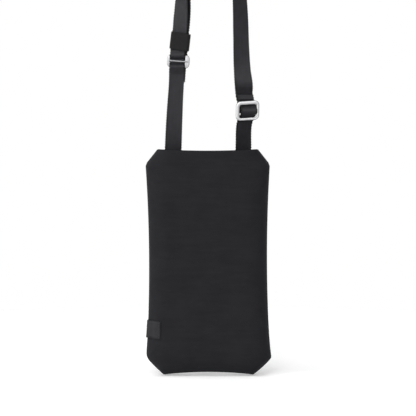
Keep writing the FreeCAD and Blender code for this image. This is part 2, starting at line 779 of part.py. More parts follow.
def buckle():
    """A square slide: its rails lie in front of the right tab and the strap's fold turns round its bar."""
    front_face = tab_plane - half_thickness - size.buckle_standoff
    bar_plane = half_thickness + (size.layer_gap + size.buckle_bar_diameter) / 2
    opening = size.webbing_width + size.buckle_play * 2
    wide = opening + size.buckle_side * 2
    slot = size.buckle_height - size.buckle_rail * 2
    frame = new_body("buckle_frame")
    ring = new_sketch(frame, "buckle_ring", "XZ_Plane", -front_face)
    rounded_rectangle(ring, wide, size.buckle_height, size.buckle_corner, "outer")
    rounded_rectangle(ring, opening, slot, size.buckle_slot_corner, "inner")
    pad(frame, "buckle_ring_pad", ring, size.buckle_thickness)
    cheeks = new_sketch(frame, "buckle_cheeks", "XZ_Plane", -front_face)
    for sign in (-1, 1):
        inner, outwards = (opening + size.bar_fit) / 2, size.buckle_side - size.bar_fit
        cheek_rectangle(cheeks, sign, inner, outwards, size.buckle_cheek)
    backward = bar_plane - front_face + size.buckle_bar_diameter
    pad(frame, "buckle_cheeks_pad", cheeks, backward, backwards=True)
    bar_hole(frame, "buckle_bar_hole", size.buckle_bar_diameter + size.bar_fit, bar_plane, wide)
    bar = level_bar("buckle_bar", size.buckle_bar_diameter, wide - size.buckle_side, bar_plane)
    for item in (frame, bar):
        place(item, buckle_spot, buckle_lean)
    return {"buckle_frame": frame, "buckle_bar": bar}


# Label on the left seam

def side_edge(level):
    """How far the drawn-in side lies from the middle at a height above the pouch's bottom."""
    low, high = values((size.bottom_corner_rise, size.pouch_height - size.top_corner_drop))
    offset = (level - (low + high) / 2) / ((high - low) / 2)
    return half_width.value - size.side_draw.value * (1 - offset * offset)


def label_path():
    """The label's middle line in plan, from the seam over the edge on to the front."""
    ease = (size.label_ease + size.label_thickness / 2).value
    edge = side_edge((size.label_base + size.label_height / 2).value)
    shoulder = edge - size.shoulder_inset.value
    near = Vector(-edge - ease, -size.seam_gap.value - ease, 0)
    corner = Vector(-edge - ease, -size.edge_depth.value - ease / 2, 0)
    ridge = Vector(-shoulder - ease / 2, -size.lip_depth.value - ease, 0)
    rise = (size.crown_depth - size.lip_depth) / (size.crown_inset - size.shoulder_inset)
    rest = (size.label_reach - size.shoulder_inset).value
    return [near, corner, ridge, ridge + Vector(rest, -rest * rise.value, 0)]


def label():
    """The bare tape and a row of stitches along its inner edge."""
    points = label_path()
    solid, _ = ribbon(points, [Z_AXIS] * len(points), size.label_height.value, size.label_thickness.value)
    tape = solid_feature("side_label", solid)
    slope = (points[-1] - points[-2]).normalize()
    half = (size.label_height / 2 - size.stitch_inset).value
    row = Part.makeCompound(stitch_line((0, -half), (0, half)))
    turn = Rotation(X_AXIS, slope)
    outwards = turn.multVec(-Y_AXIS) * (size.label_thickness.value / 2)
    row.Placement = Placement(points[-1] - slope * size.stitch_inset.value + outwards, turn)
    stitching = solid_feature("label_stitching", Part.makeCompound(row.Solids))
    for item in (tape, stitching):
        place(item, (ZERO, seam_plane, pouch_bottom + size.label_base + size.label_height / 2))
    return {"side_label": tape, "label_stitching": stitching}


def build():
    pieces = {"keeper_band": keeper()}
    for group in (front_wall, back_wall, straps, adjuster, buckle, label):
        pieces.update(group())
    for name, item in pieces.items():
        item.Label = name
    return pieces


def check(pieces):
    broken = [item.Label for item in doc.Objects if "Invalid" in item.State or "Error" in item.State]
    for name, item in pieces.items():
        shape = item.Shape
        if item.Label != name or shape.isNull() or not shape.isValid() or shape.Volume <= 0:
            broken.append(name)
    if broken:
        raise RuntimeError("pieces that failed: " + ", ".join(sorted(set(broken))))


sub_parts = build()
doc.recompute()
check(sub_parts)
os.makedirs("parts", exist_ok=True)
for name, item in sub_parts.items():
    item.Shape.exportStep(f"parts/{name}.step")
    solids = len(item.Shape.Solids)
    print(f"{name}: {solids} solid{'s' if solids > 1 else ''}, {item.Shape.Volume:.1f} mm3")
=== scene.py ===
import json
import math

import bmesh
import bpy
import numpy as np
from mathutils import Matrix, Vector


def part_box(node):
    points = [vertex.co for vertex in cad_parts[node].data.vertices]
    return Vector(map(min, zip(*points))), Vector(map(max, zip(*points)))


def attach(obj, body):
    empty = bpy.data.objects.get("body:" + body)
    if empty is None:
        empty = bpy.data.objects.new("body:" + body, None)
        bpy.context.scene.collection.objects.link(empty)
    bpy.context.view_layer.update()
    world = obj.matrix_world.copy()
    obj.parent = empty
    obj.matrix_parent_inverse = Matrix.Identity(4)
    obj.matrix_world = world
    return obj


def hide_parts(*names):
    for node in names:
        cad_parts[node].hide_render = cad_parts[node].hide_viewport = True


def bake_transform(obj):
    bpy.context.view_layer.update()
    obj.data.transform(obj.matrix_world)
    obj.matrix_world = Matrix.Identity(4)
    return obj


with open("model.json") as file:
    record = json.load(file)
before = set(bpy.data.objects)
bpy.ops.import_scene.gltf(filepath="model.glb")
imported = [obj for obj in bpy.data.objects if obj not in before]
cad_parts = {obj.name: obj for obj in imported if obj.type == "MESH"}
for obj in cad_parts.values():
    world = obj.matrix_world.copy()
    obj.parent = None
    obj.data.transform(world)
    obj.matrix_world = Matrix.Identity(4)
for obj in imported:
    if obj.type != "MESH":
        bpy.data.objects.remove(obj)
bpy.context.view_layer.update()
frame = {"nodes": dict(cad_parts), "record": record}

# Sizes and places, in metres, from the frame where the frame holds them
MM = 0.001
SEAM_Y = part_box("back_lining")[0].y
POUCH_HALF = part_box("back_panel")[1].x
POUCH_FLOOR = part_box("back_panel")[0].z
# The cloth starts this far above the solids' floor and is this much taller than the solids
POUCH_LIFT, POUCH_EXTRA = 0.7 * MM, 0.3 * MM
POUCH_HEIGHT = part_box("back_mouth_hem")[1].z - POUCH_FLOOR + POUCH_EXTRA
BACK_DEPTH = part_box("back_panel")[1].y - SEAM_Y
CROWN_DEPTH = SEAM_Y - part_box("front_panel")[0].y
JOINTS = {joint["name"]: joint for joint in frame["record"]["behaviour"]["joints"]}
BACK = Vector((0, 1, 0))

# Points closer than this are one point: in the pouch's walls, and in every other piece
WALL_JOIN, FINE_JOIN = 1e-6, 1e-8
# The least length that is divided by
TINY = 1e-9

# Camera: the photograph's frame is this tall at the pouch, and is seen from this many degrees above
FRAME_TALL = 0.4007
FRAME_CENTRE = Vector((-0.0003, -0.006, -0.2825))
CAMERA_DISTANCE = 2.4
CAMERA_RISE = 4.0

# Webbing
WEB_WIDTH, WEB_THICKNESS = 15.4 * MM, 1.2 * MM
HEM_LENGTH = 4.6 * MM
# The waves of its edges
SCALLOP, SCALLOP_PITCH = 0.28 * MM, 2.6 * MM
# Half of the tape's section: share of the half width, share of the half thickness
TAPE_FACE = [(-0.99, 0.45), (-0.95, 0.95), (-0.90, 1.06), (-0.84, 0.88), (-0.50, 1.0), (0.0, 1.0),
             (0.50, 1.0), (0.84, 0.88), (0.90, 1.06), (0.95, 0.95), (0.99, 0.45)]
# Points of the section beyond this share of the half width follow the scallops
SELVEDGE = 0.92
# Room between two layers, and how much further a tail's hem stands off at its lower edge
LAYER_GAP, TAIL_KICK = 0.1 * MM, 1.0 * MM
# Painted shade: the right tab takes a darker, duller copy of the webbing up to this far above the buckle's
# lower edge
SHADE_ABOVE = 2 * MM
# The swollen webbing on the slide is thinner and narrower than the tab, and lies to the right of its middle
HUMP_THICKNESS, HUMP_WIDTH, HUMP_SHIFT = 0.5 * WEB_THICKNESS, WEB_WIDTH - 1.4 * MM, 0.35 * MM

# Routes of the straps, in millimetres: the upper strap from its hem over the peg to its fold, then the two
# tabs from the pouch up
STRAP_ROUTE = [
    (-30, 0, -161.1), (-29.3, 0, -150), (-27.9, 0, -136), (-26.9, 0.1, -121),
    (-25.3, 0.2, -108), (-23, 0.4, -88), (-23.4, 0.2, -66), (-24.6, 0, -50),
    (-24.6, 0, 0.6), (22.3, 0, 0.6), (28.1, 0, -50), (30.8, 0, -90),
    (31.4, 0, -118), (32, -0.3, -140), (32.8, -3, -153), (34.1, -7, -164),
    (34.3, -1, -169.5), (34.3, 0.2, -175), (36.6, 0, -185.5), (37.2, -0.2, -191),
    (37.3, 3.4, -191), (37.4, 3, -185), (36.1, 1.6, -179.5), (35, 1.5, -174.2),
]
LEFT_ROUTE = [
    (-35.4, -1.4, -250.9), (-34.6, -1.4, -238), (-33.8, -1.4, -226), (-33.2, -4.3, -209),
    (-32.6, -4.7, -196), (-31.8, -3.3, -180), (-30.6, -1.4, -162), (-30.3, -1.4, -146),
    (-29.6, -1.35, -133), (-28.4, -1.5, -121), (-27.1, -2.5, -110.5), (-26.4, -1.5, -99),
    (-25.9, -1.2, -90), (-25.4, -1.4, -76.5),
]
RIGHT_ROUTE = [
    (32.4, -1.4, -250.9), (33.3, -1.4, -238), (33.9, -1.4, -226), (33.8, -2.4, -212),
    (34.2, -2.4, -203), (36, -1.4, -196.3), (38.6, -3, -192.5), (39.6, -6.6, -189.2),
    (39.3, -3, -185.2), (37.9, -1.3, -182.6), (36.3, -1.3, -178.2), (35.5, -1.4, -173.5),
]
# The webbing of the left tab where it swells round the slide's bar, from below the bar up
SLIDE_ROUTE = [
    (-30.6, -1.2, -158.5), (-30.5, -1.3, -155.6), (-30.5, -2, -153), (-30.4, -4.2, -148.7),
    (-30.4, -4.9, -146.8), (-30.4, -4, -145.3), (-30.3, -1.4, -143.6), (-30.3, -1.2, -141.7),
    (-30.2, -1, -140), (-30.2, -2.2, -138.6), (-30, -3.9, -136.9), (-29.9, -4.1, -135.4),
    (-29.8, -3, -132.9), (-29.6, -2.2, -130.2), (-29.4, -1.9, -128),
]
# How far each strand turns outwards from facing the viewer, in degrees, by height in millimetres
LEFT_TURN = [(-132, 0), (-122, 9), (-104, 17), (-94, 28), (-82, 38), (-50, 62), (-24, 90)]
RIGHT_TURN = [(-149, 0), (-138, 8), (-110, 13), (-82, 27), (-50, 58), (-24, 90)]
SLIDE_TURN = [(-140.5, 0), (-136, 6), (-128, 8)]
TAB_TURN = [(-231, 0), (-225, 4), (-215, 12), (-203.5, 12), (-199, 5), (-196.3, 0)]
# How far each strand is pressed wide or drawn narrow, as a share of its width, by height in millimetres
LEFT_SPREAD = [(-228, 1.06), (-203.5, 1.03), (-188, 1.0), (-174.6, 0.965), (-163, 0.95), (-150, 0.965),
               (-142, 0.92), (-108, 0.94), (-100, 0.97)]
RIGHT_SPREAD = [(-180, 1.0), (-174, 1.06), (-168, 1.12), (-162, 1.14), (-150, 1.06), (-120, 1.0)]

# A stitch from end to end: share of its half length, share of its radius, rise above the cloth in radii
STITCH_STATIONS = [(-1.0, 0.3, -0.8), (-0.8, 0.85, 0.1), (-0.35, 1.0, 0.6), (0.35, 1.0, 0.6),
                   (0.8, 0.85, 0.1), (1.0, 0.3, -0.8)]
STITCH_LENGTH, STITCH_RADIUS, STITCH_SIDES = 2.6 * MM, 0.22 * MM, 6
# Distance from one stitch to the next in rows along the webbing and over it
PITCH_ALONG, PITCH_OVER = 3.6 * MM, 3.4 * MM
# Stitches reach this far from the middle of the webbing, and a hem's rows lie this far from its end
STITCH_HALF = WEB_WIDTH / 2 - 2 * MM
HEM_ROWS = (1.2 * MM, 3.5 * MM)
# Boxes of stitches: the fold's from the strap's last end, an anchor's from the tab's first end
FOLD_BOX = (6 * MM, 1.2 * MM)
ANCHOR_BOX = (2 * MM, 20 * MM)

# Pouch; where left (-1) and right (1) differ, both are given. First the cut corners: their run across, their
# drop or rise, and how far the bottom ones bow out.
TOP_RUN, TOP_DROP = 11.7 * MM, 14.8 * MM
BOTTOM_RUN, BOTTOM_RISE = {-1: 17.0 * MM, 1: 17.4 * MM}, 16.3 * MM
BOTTOM_BOW = {-1: 0.2 * MM, 1: 1.1 * MM}
# How far the sides are drawn in at half height
SIDE_DRAW = 3.0 * MM
# How far the edge lies outside the frame's width at the top and the bottom
EDGE_TOP = {-1: 0.1 * MM, 1: -1.1 * MM}
EDGE_BOTTOM = {-1: -0.5 * MM, 1: -0.2 * MM}
# How far the sides flare at the bottom, and how far up
FLARE, FLARE_REACH = {-1: 0.7 * MM, 1: 1.1 * MM}, 11 * MM
# How soft the corners are
BOTTOM_SOFTNESS = {-1: 2.2 * MM, 1: 0.5 * MM}
TOP_SOFTNESS = 0.4 * MM
# The bottom edge's arch and the mouth's dip: their height in the middle and how far they reach into the wall
FLOOR_ARCH, FLOOR_ARCH_REACH = 2.5 * MM, 50 * MM
MOUTH_DIP, MOUTH_DIP_REACH = 1.5 * MM, 40 * MM
# The front is this deep at the mouth, and rises from there to its crown over this height
LIP_DEPTH, LIP_REACH = 10.5 * MM, 42 * MM
# Width of the slope from the sewn edge to the full depth, and the powers that shape the slope
FRONT_EDGE, BACK_EDGE = 24 * MM, 7 * MM
SWELL_POWER, SWELL_ROOT = 2.6, 2.2
# The power that blends the distances to the three sewn edges
INSET_POWER = 3
# Thickness of the front wall, its gap at the seam, and the height of the facing inside the mouth
WALL, SEAM_GAP, FACING = 3.0 * MM, 0.15 * MM, 9 * MM
# The small folds at the corners: their height, reach and number, and the share of them that the back has
PUCKER, PUCKER_REACH, PUCKER_FOLDS = 0.5 * MM, 15 * MM, 9
BACK_PUCKER_SHARE = 0.3
# The padding's slow unevenness: its height, then its run and phase across and upright
UNEVEN = 0.25 * MM
UNEVEN_RUN, UNEVEN_PHASE = (19 * MM, 31 * MM), (1.1, 0.4)
# Mesh of a wall: points across, points up with a power that crowds them low, and the roll of the lip
WALL_COLUMNS, WALL_ROWS, WALL_CROWDING = 77, 121, 1.8
LIP_ROLL, LIP_STEPS = 1.0 * MM, 6
# The welt: its radius and sides, points up each side and along the bottom, and its gap below the mouth
WELT_RADIUS, WELT_SIDES = 0.45 * MM, 8
WELT_ROWS, WELT_CROWDING, WELT_COLUMNS = 90, 1.3, 60
WELT_GAP = 0.6 * MM

# Label: its height, how far it reaches in from the edge and how high it sits, then its thickness, its ease
# over the pouch and its rows of points
LABEL_HEIGHT, LABEL_REACH, LABEL_LEVEL = 16.8 * MM, 12.0 * MM, 45.0 * MM
LABEL_THICKNESS, LABEL_EASE, LABEL_ROWS = 0.7 * MM, 0.55 * MM, 9
# Its edges drop to the right at this slope
LABEL_SLOPE = math.tan(math.radians(5))
# How far the label leans off the seam at its fold and at its sewn end
LABEL_LEANS = [math.tan(math.radians(angle)) for angle in (1.1, -1.9)]
# The stiff fold outside the seam, from the seam forwards, in millimetres: distance in from the edge and depth
# in front of the seam. Then the distances in from the edge of the part that lies on the pouch.
LABEL_FOLD = [(-0.3, 0.3), (-0.7, 1.8), (-1.05, 3.6), (-1.25, 4.9), (-1.2, 5.6), (-0.85, 6.2), (0.4, 7.2),
              (1.9, 8.4)]
LABEL_FLAT = [3.4, 5.0, 6.5, 8.0, 9.5, 11.0, 12.0]
# Its stitches: how many, how long and how far in from its sewn end
LABEL_STITCHES, LABEL_STITCH_LENGTH, LABEL_STITCH_IN = 6, 2.0 * MM, 1.3 * MM

# Fittings. A loop is its half width, half height and corner radius, and its middle where it is off centre.
# Section of a ring: share of the way from its inner to its outer edge, share of its half thickness forwards
DOMED = [(0.0, 0.0), (0.10, 0.55), (0.24, 0.86), (0.5, 1.0), (0.76, 0.86), (0.90, 0.55), (1.0, 0.0),
         (1.0, -0.6), (0.9, -0.95), (0.5, -1.0), (0.1, -0.95), (0.0, -0.6)]
# The strips of that section that turn sideways and get the darker metal of the edges as painted shade, and
# how far sideways a lug's faces must look to get that painted shade too
SHADED_STRIPS = (0, 5, 6, 11)
SHADED_TURN = 0.45
BUCKLE_INNER = (8.2 * MM, 6.2 * MM, 1.7 * MM, (0.3 * MM, 0))
BUCKLE_OUTER = (11.3 * MM, 9.4 * MM, 4.6 * MM, (-0.3 * MM, 0.5 * MM))
BUCKLE_HALF_THICK = 1.1 * MM
BUCKLE_UPRIGHT = Vector((0.02, 0, 1)).normalized()
# The buckle's lugs: their span sideways, how far back and up they go, and how round their edges are
BUCKLE_LUG_X, BUCKLE_LUG_BACK = (8.5 * MM, 10.7 * MM), 3.4 * MM
BUCKLE_LUG_UP, BUCKLE_LUG_BEVEL = 3.1 * MM, 0.5 * MM
SLIDE_INNER = (8.9 * MM, 4.6 * MM, 1.0 * MM, (-0.85 * MM, 0))
SLIDE_OUTER = (10.85 * MM, 6.7 * MM, 4.5 * MM, (-0.15 * MM, 0))
# The slide's rails and its left (-1) and right (1) ends: middle planes and half thicknesses
RAIL_PLANE, END_PLANES = 1.9 * MM, {-1: -1.4 * MM, 1: -2.3 * MM}
RAIL_HALF_THICK, END_HALF_THICK = 1.0 * MM, 1.2 * MM
# A rail is level this far from the middle and then turns to the end over this width
RAIL_LEVEL, RAIL_TURN = 6.8 * MM, 2.2 * MM
# The slide's lugs: spans across, in depth and upright, and how round their edges are
SLIDE_LUGS = [
    ((6.2 * MM, 9.4 * MM), (-3.4 * MM, -1.5 * MM), (-5.9 * MM, 5.9 * MM), 0.6 * MM),
    ((-10.4 * MM, -8.4 * MM), (-3.4 * MM, -2.3 * MM), (-5.0 * MM, 5.0 * MM), 0.45 * MM),
]
KEEPER_OUTER = (9.4 * MM, 4.05 * MM, 2.4 * MM)
KEEPER_INNER = (9.1 * MM, 3.45 * MM, 2.1 * MM, (-0.1 * MM, 0))
# The keeper's height, and how far it lies to the right of its solid's middle
KEEPER_TALL, KEEPER_SHIFT = 16.4 * MM, 0.3 * MM
# Slopes to the right: the lean of its upright and the drop of its edges
KEEPER_LEAN, KEEPER_SKEW = 0.05, 0.045
# Height and number of its ribs
KEEPER_RIB, KEEPER_RIBS = 0.09 * MM, 16
# Its ends draw in by this much, with a power that keeps this close to the ends
KEEPER_ROUNDING, KEEPER_ROUNDING_POWER = 0.35 * MM, 14
# Rows of points on its outside, and how many of them each row inside stands for
KEEPER_ROWS, KEEPER_INNER_STEP = 64, 8

# Stage: the floor's radius, corners, drop below the pouch, tone and glow, then the glow of the room
FLOOR_RADIUS, FLOOR_CORNERS, FLOOR_DROP = 0.6, 96, 0.2 * MM
FLOOR_TONE, FLOOR_GLOW = (0.93, 0.93, 0.93, 1), 0.16
ROOM_GLOW = 0.42
WHITE = (1, 1, 1, 1)
# Round lights: name, place, size and power; all look at one place
LIGHT_AIM = Vector((0, 0, -0.33))
ROUND_LIGHTS = [("key_light", (-1.9, -1.1, 0.15), 1.4, 25), ("front_light", (-0.3, -1.7, 0.75), 1.0, 13.5)]
# The room's own light from above: power, and its spread and tilt in degrees
SUN_POWER, SUN_SPREAD, SUN_TILT = 1.3, 75, (10, -14, 0)


# Meshes

def new_object(name, points, faces, material):
    mesh = bpy.data.meshes.new(name)
    mesh.from_pydata([tuple(point) for point in points], [], faces)
    mesh.polygons.foreach_set("use_smooth", [True] * len(mesh.polygons))
    piece = bpy.data.objects.new(name, mesh)
    bpy.context.scene.collection.objects.link(piece)
    mesh.materials.append(material)
    return piece


def tidy_mesh(piece, merge=FINE_JOIN):
    """Join points that coincide and turn every face outwards."""
    work = bmesh.new()
    work.from_mesh(piece.data)
    bmesh.ops.remove_doubles(work, verts=work.verts, dist=merge)
    bmesh.ops.recalc_face_normals(work, faces=work.faces)
    work.to_mesh(piece.data)
    work.free()


def quads(rows, columns, wrap_rows=False, wrap_columns=False):
    """Faces of a grid whose points are numbered row by row."""
    faces = []
    for row in range(rows if wrap_rows else rows - 1):
        following = (row + 1) % rows
        for column in range(columns if wrap_columns else columns - 1):
            beside = (column + 1) % columns
            faces.append((row * columns + column, row * columns + beside,
                          following * columns + beside, following * columns + column))
    return faces


def tube_faces(rows, columns, first=0):
    """Faces of a closed tube, its side and then its two ends, with points numbered from the first."""
    last = (rows - 1) * columns
    faces = quads(rows, columns, wrap_columns=True)
    faces += [tuple(range(columns)), tuple(reversed(range(last, last + columns)))]
    return [tuple(first + corner for corner in face) for face in faces]


def circle(count):
    """Cosine and sine of equal steps round a circle."""
    angles = [2 * math.pi * number / count for number in range(count)]
    return [(math.cos(angle), math.sin(angle)) for angle in angles]


def direction_at(line, index):
    """The direction of a line of points at one of them, from the points beside it."""
    return (line[min(index + 1, len(line) - 1)] - line[max(index - 1, 0)]).normalized()


def dress(piece, slot, *nodes):
    """Hide the nodes that a piece takes the place of; the slot is not used."""
    if nodes:
        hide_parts(*nodes)


def finish_piece(piece, body, slot, *nodes):
    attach(piece, body)
    dress(piece, slot, *nodes)


# Materials

# Sockets of a colour mix: its share, its two colours and its result
MIX_SHARE, MIX_DARK, MIX_LIGHT, MIX_RESULT = 0, 6, 7, 2
# A wave texture runs through this many radians for each unit of place times scale along an axis
WAVE_RADIANS = 20


def node(tree, kind, inputs=None, **settings):
    """A shader node; each of its inputs is a value or the output that feeds it."""
    item = tree.nodes.new(kind)
    for key, value in settings.items():
        setattr(item, key, value)
    for key, value in (inputs or {}).items():
        if isinstance(value, bpy.types.NodeSocket):
            tree.links.new(value, item.inputs[key])
        else:
            item.inputs[key].default_value = value
    return item


def blank_material(name, roughness, specular=0.5, metallic=0.0, sheen=0.0):
    material = bpy.data.materials.new(name)
    material.use_nodes = True
    shader = material.node_tree.nodes["Principled BSDF"]
    shader.inputs["Roughness"].default_value = roughness
    shader.inputs["Specular IOR Level"].default_value = specular
    shader.inputs["Metallic"].default_value = metallic
    shader.inputs["Sheen Weight"].default_value = sheen
    return material, material.node_tree, shader


def bands(tree, place, direction, pitch, distortion=0.0):
    """Even ridges, one each pitch, along a direction."""
    scale = 2 * math.pi / WAVE_RADIANS / pitch
    inputs = {"Vector": place, "Scale": scale, "Distortion": distortion, "Detail": 0.0}
    wave = node(tree, "ShaderNodeTexWave", inputs, wave_type="BANDS", bands_direction=direction,
                wave_profile="SIN")
    return wave.outputs["Fac"]


def noise(tree, place, scale, detail, roughness=0.5):
    inputs = {"Vector": place, "Scale": scale, "Detail": detail, "Roughness": roughness}
    return node(tree, "ShaderNodeTexNoise", inputs).outputs["Fac"]


def stretched(tree, place, scale):
    """The same coordinates with their axes scaled."""
    return node(tree, "ShaderNodeMapping", {"Vector": place, "Scale": scale}).outputs["Vector"]


def ranged(tree, value, limits, **settings):
    """A value brought from one range to another."""
    return node(tree, "ShaderNodeMapRange", {"Value": value, **limits}, **settings).outputs["Result"]


def combined(tree, first, second, operation="ADD"):
    return node(tree, "ShaderNodeMath", {0: first, 1: second}, operation=operation).outputs[0]


def bump(tree, shader, height, strength, depth):
    item = node(tree, "ShaderNodeBump", {"Height": height, "Strength": strength, "Distance": depth})
    tree.links.new(item.outputs["Normal"], shader.inputs["Normal"])


def two_tone(tree, shader, share, dark, light):
    """Colour between two tones, led by a texture."""
    inputs = {MIX_SHARE: share, MIX_DARK: (*dark, 1), MIX_LIGHT: (*light, 1)}
    mix = node(tree, "ShaderNodeMix", inputs, data_type="RGBA")
    tree.links.new(mix.outputs[MIX_RESULT], shader.inputs["Base Color"])


def woven_material(name, dark, light, pitch, roughness, streak_scale=260.0, specular=0.3):
    """Plain weave with faint weft streaks and slow mottling."""
    material, tree, shader = blank_material(name, roughness, specular)
    place = node(tree, "ShaderNodeTexCoord").outputs["Object"]
    warp = bands(tree, place, "X", pitch, distortion=0.4)
    weft = bands(tree, place, "Z", pitch, distortion=0.4)
    bump(tree, shader, combined(tree, warp, weft), strength=0.35, depth=pitch * 0.35)
    drawn = stretched(tree, place, scale=(0.12, 1, 1))
    slub = noise(tree, drawn, scale=streak_scale, detail=3.0, roughness=0.6)
    mottle = noise(tree, place, scale=55.0, detail=2.0)
    tone = ranged(tree, combined(tree, slub, mottle), {"From Min": 0.75, "From Max": 1.25})
    two_tone(tree, shader, tone, dark, light)
    return material


def webbing_material(name, dark, light, roughness, specular):
    """Ribbed tape: cords along its length, a fine twill across them and darker selvedges."""
    material, tree, shader = blank_material(name, roughness, specular, sheen=0.02)
    place = node(tree, "ShaderNodeUVMap", uv_map="weave").outputs["UV"]
    cords = bands(tree, place, "X", pitch=1.25 * MM)
    twill = bands(tree, place, "DIAGONAL", pitch=0.7 * MM, distortion=0.3)
    picks = bands(tree, place, "Y", pitch=0.6 * MM)
    height = combined(tree, cords, combined(tree, twill, picks))
    bump(tree, shader, height, strength=0.45, depth=0.12 * MM)
    across = node(tree, "ShaderNodeSeparateXYZ", {"Vector": place}).outputs["X"]
    offset = node(tree, "ShaderNodeMath", {0: across}, operation="ABSOLUTE").outputs[0]
    edge = ranged(tree, offset, {"From Min": 6.9 * MM, "From Max": 5.9 * MM},
                  interpolation_type="SMOOTHSTEP")
    lines = noise(tree, stretched(tree, place, scale=(1, 0.05, 1)), scale=620.0, detail=3.0)
    wear = noise(tree, place, scale=150.0, detail=3.0)
    uneven = ranged(tree, combined(tree, lines, wear), {"From Min": 0.7, "From Max": 1.3, "To Min": 0.35})
    two_tone(tree, shader, combined(tree, edge, uneven, "MULTIPLY"), dark, light)
    return material


def metal_material(name, dark, light):
    """Satin silver plating with a fine grain and slight handling marks."""
    material, tree, shader = blank_material(name, roughness=0.5, metallic=1.0)
    place = node(tree, "ShaderNodeTexCoord").outputs["Object"]
    grain = noise(tree, place, scale=2600.0, detail=2.0)
    marks = noise(tree, place, scale=320.0, detail=4.0)
    rough = ranged(tree, marks, {"To Min": 0.42, "To Max": 0.58})
    tree.links.new(rough, shader.inputs["Roughness"])
    bump(tree, shader, grain, strength=0.12, depth=0.03 * MM)
    two_tone(tree, shader, marks, dark, light)
    return material


def thread_material():
    """Twisted thread."""
    material, tree, shader = blank_material("black_thread", roughness=0.6, specular=0.3)
    place = node(tree, "ShaderNodeTexCoord").outputs["Object"]
    ply = bands(tree, place, "DIAGONAL", pitch=0.35 * MM)
    bump(tree, shader, ply, strength=0.5, depth=0.06 * MM)
    two_tone(tree, shader, ply, dark=(0.012, 0.012, 0.013), light=(0.03, 0.03, 0.033))
    return material


def elastic_material():
    """Elastic band: close ribs round the loop and a knitted grain."""
    material, tree, shader = blank_material("elastic_band", roughness=0.75, specular=0.12)
    place = node(tree, "ShaderNodeTexCoord").outputs["Object"]
    ribs = bands(tree, place, "Z", pitch=1.0 * MM)
    knit = bands(tree, place, "X", pitch=0.5 * MM, distortion=0.5)
    bump(tree, shader, combined(tree, ribs, knit), strength=0.4, depth=0.12 * MM)
    fuzz = noise(tree, place, scale=420.0, detail=3.0)
    two_tone(tree, shader, fuzz, dark=(0.0098, 0.0098, 0.0098), light=(0.0155, 0.0155, 0.0155))
    return material


POUCH_FABRIC = woven_material("pouch_fabric", dark=(0.0108, 0.0108, 0.0130), light=(0.0138, 0.0138, 0.0163),
                              pitch=0.55 * MM, roughness=0.8, specular=0.12)
LINING = woven_material("lining_fabric", dark=(0.014, 0.014, 0.016), light=(0.024, 0.024, 0.027),
                        pitch=0.35 * MM, roughness=0.7)
LABEL_TAPE = woven_material("label_tape", dark=(0.0115, 0.0115, 0.0132), light=(0.0175, 0.0175, 0.02),
                            pitch=0.4 * MM, roughness=0.65, streak_scale=500.0, specular=0.2)
WEBBING = webbing_material("webbing", dark=(0.002, 0.002, 0.0025), light=(0.0116, 0.0113, 0.0158),
                           roughness=0.45, specular=0.24)
# A darker, duller copy of the webbing: painted shade on the right tab below the buckle
SHADED_WEBBING = webbing_material("webbing_painted_shade", dark=(0.002, 0.002, 0.0025), light=(0.0095, 0.0093, 0.0125),
                                roughness=0.5, specular=0.13)
SILVER = metal_material("satin_silver", dark=(0.41, 0.41, 0.42), light=(0.49, 0.49, 0.50))
# A darker copy of the silver: painted shade on the fittings' side faces and on the slide's bar
SILVER_PAINTED_SHADE = metal_material("satin_silver_painted_shade", dark=(0.22, 0.22, 0.23), light=(0.32, 0.32, 0.33))
THREAD = thread_material()
ELASTIC = elastic_material()


# Camera

def make_camera():
    rise = math.radians(CAMERA_RISE)
    away = Vector((0, -math.cos(rise), math.sin(rise)))
    data = bpy.data.cameras.new("camera")
    data.lens = data.sensor_width * CAMERA_DISTANCE / FRAME_TALL
    camera = bpy.data.objects.new("camera", data)
    camera.location = FRAME_CENTRE + away * CAMERA_DISTANCE
    camera.rotation_euler = (-away).to_track_quat("-Z", "Y").to_euler()
    bpy.context.scene.collection.objects.link(camera)
    bpy.context.scene.camera = camera


# Straps

def route_points(name, route, steps):
    """Points of a smooth line that has the route, which is in millimetres, as its control points."""
    curve = bpy.data.curves.new(name, "CURVE")
    curve.dimensions = "3D"
    curve.resolution_u = steps
    spline = curve.splines.new("NURBS")
    spline.points.add(len(route) - 1)
    for point, place in zip(spline.points, route):
        point.co = (*(value * MM for value in place), 1)
    spline.order_u = 3
    spline.use_endpoint_u = True
    spline.resolution_u = steps
    holder = bpy.data.objects.new(name, curve)
    bpy.context.scene.collection.objects.link(holder)
    bpy.context.view_layer.update()
    mesh = bpy.data.meshes.new_from_object(holder)
    points = [vertex.co.copy() for vertex in mesh.vertices]
    bpy.data.objects.remove(holder)
    bpy.data.meshes.remove(mesh)
    return points


class Band:
    """A strap's line, with the reach, the spread and the directions of the tape at each of its points."""

    def __init__(self, points, across, spread=None, square=True):
        self.points = points
        self.spread = [spread(point) if spread else 1.0 for point in points]
        self.reach = [0.0]
        for before, after in zip(points, points[1:]):
            self.reach.append(self.reach[-1] + (after - before).length)
        self.along, self.across, self.face = [], [], []
        for index, point in enumerate(points):
            tangent = direction_at(points, index)
            side = across(point)
            if square:
                side = (side - tangent * side.dot(tangent)).normalized()
            self.along.append(tangent)
            self.across.append(side)
            self.face.append(side.cross(tangent).normalized())

    def at(self, reach):
        """The index of the point nearest to a reach."""
        return min(range(len(self.reach)), key=lambda index: abs(self.reach[index] - reach))

    def part(self, first, last):
        """The stretch between two reaches, as a band of its own."""
        stretch = slice(self.at(first), self.at(last) + 1)
        piece = Band.__new__(Band)
        for field in ("points", "spread", "reach", "along", "across", "face"):
            setattr(piece, field, getattr(self, field)[stretch])
        return piece


